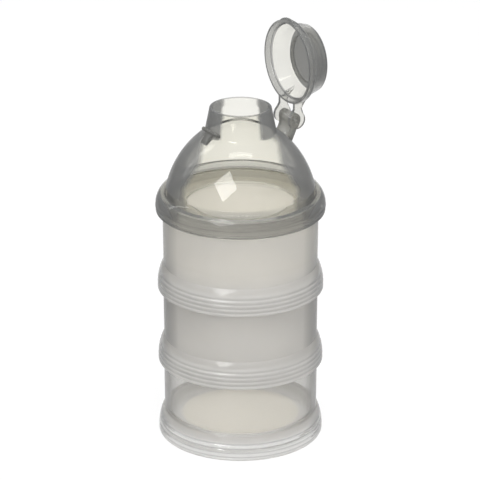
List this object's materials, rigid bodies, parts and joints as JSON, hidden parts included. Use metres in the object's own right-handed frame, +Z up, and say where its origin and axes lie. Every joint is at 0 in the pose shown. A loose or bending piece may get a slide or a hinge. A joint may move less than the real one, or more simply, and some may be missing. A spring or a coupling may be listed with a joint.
{
  "type": "milk powder dispenser",
  "caption": "Stackable milk powder dispenser: screw-together translucent cups under a clear domed pouring lid whose spout has a hinged flip cap, shown open.",
  "frame": {"origin": "centre of the bottom cup's foot ring, on the surface it stands on", "axes": "+Z up along the stack's axis; +X from the axis towards the flip cap's hinge, with the catch at -X; +Y completes the right-handed frame and the hinge pin is parallel to it"},
  "size_m": [0.079, 0.079, 0.1992],
  "materials": {
    "frosted_cup": "frosted translucent polypropylene",
    "seal": "soft translucent silicone",
    "clear_lid": "clear, faintly grey, glossy",
    "clear_cap": "clear, faintly grey, glossy"
  },
  "bodies": {
    "base": {"container_1": "frosted_cup", "seal_ring_1": "seal"},
    "lift_2": {"seal_ring_2": "seal"},
    "cup_2": {"container_2": "frosted_cup"},
    "lift_3": {"seal_ring_3": "seal"},
    "cup_3": {"container_3": "frosted_cup"},
    "lift_lid": {"seal_ring_4": "seal"},
    "lid": {"dome_lid": "clear_lid"},
    "cap": {"flip_cap": "clear_cap"}
  },
  "joints": [
    {"name": "cup_2_lift", "type": "slide", "parent": "base", "child": "lift_2", "axis": [0, 0, 1], "range_m": [0, 0.007]},
    {"name": "cup_2_unscrew", "type": "hinge", "parent": "lift_2", "child": "cup_2", "pos_m": [0, 0, 0.0365], "axis": [0, 0, 1], "range_deg": [0, 720]},
    {"name": "cup_3_lift", "type": "slide", "parent": "cup_2", "child": "lift_3", "axis": [0, 0, 1], "range_m": [0, 0.007]},
    {"name": "cup_3_unscrew", "type": "hinge", "parent": "lift_3", "child": "cup_3", "pos_m": [0, 0, 0.073], "axis": [0, 0, 1], "range_deg": [0, 720]},
    {"name": "lid_lift", "type": "slide", "parent": "cup_3", "child": "lift_lid", "axis": [0, 0, 1], "range_m": [0, 0.007]},
    {"name": "lid_unscrew", "type": "hinge", "parent": "lift_lid", "child": "lid", "pos_m": [0, 0, 0.1113], "axis": [0, 0, 1], "range_deg": [0, 720]},
    {"name": "cap_flip", "type": "hinge", "parent": "lid", "child": "cap", "pos_m": [0.0266, 0, 0.1517], "axis": [0, 1, 0], "range_deg": [-90, 25]}
  ],
  "couplings": [
    {"joint": "cup_2_lift", "follows": "cup_2_unscrew", "m_per_rad": 0.00055704},
    {"joint": "cup_3_lift", "follows": "cup_3_unscrew", "m_per_rad": 0.00055704},
    {"joint": "lid_lift", "follows": "lid_unscrew", "m_per_rad": 0.00055704}
  ]
}
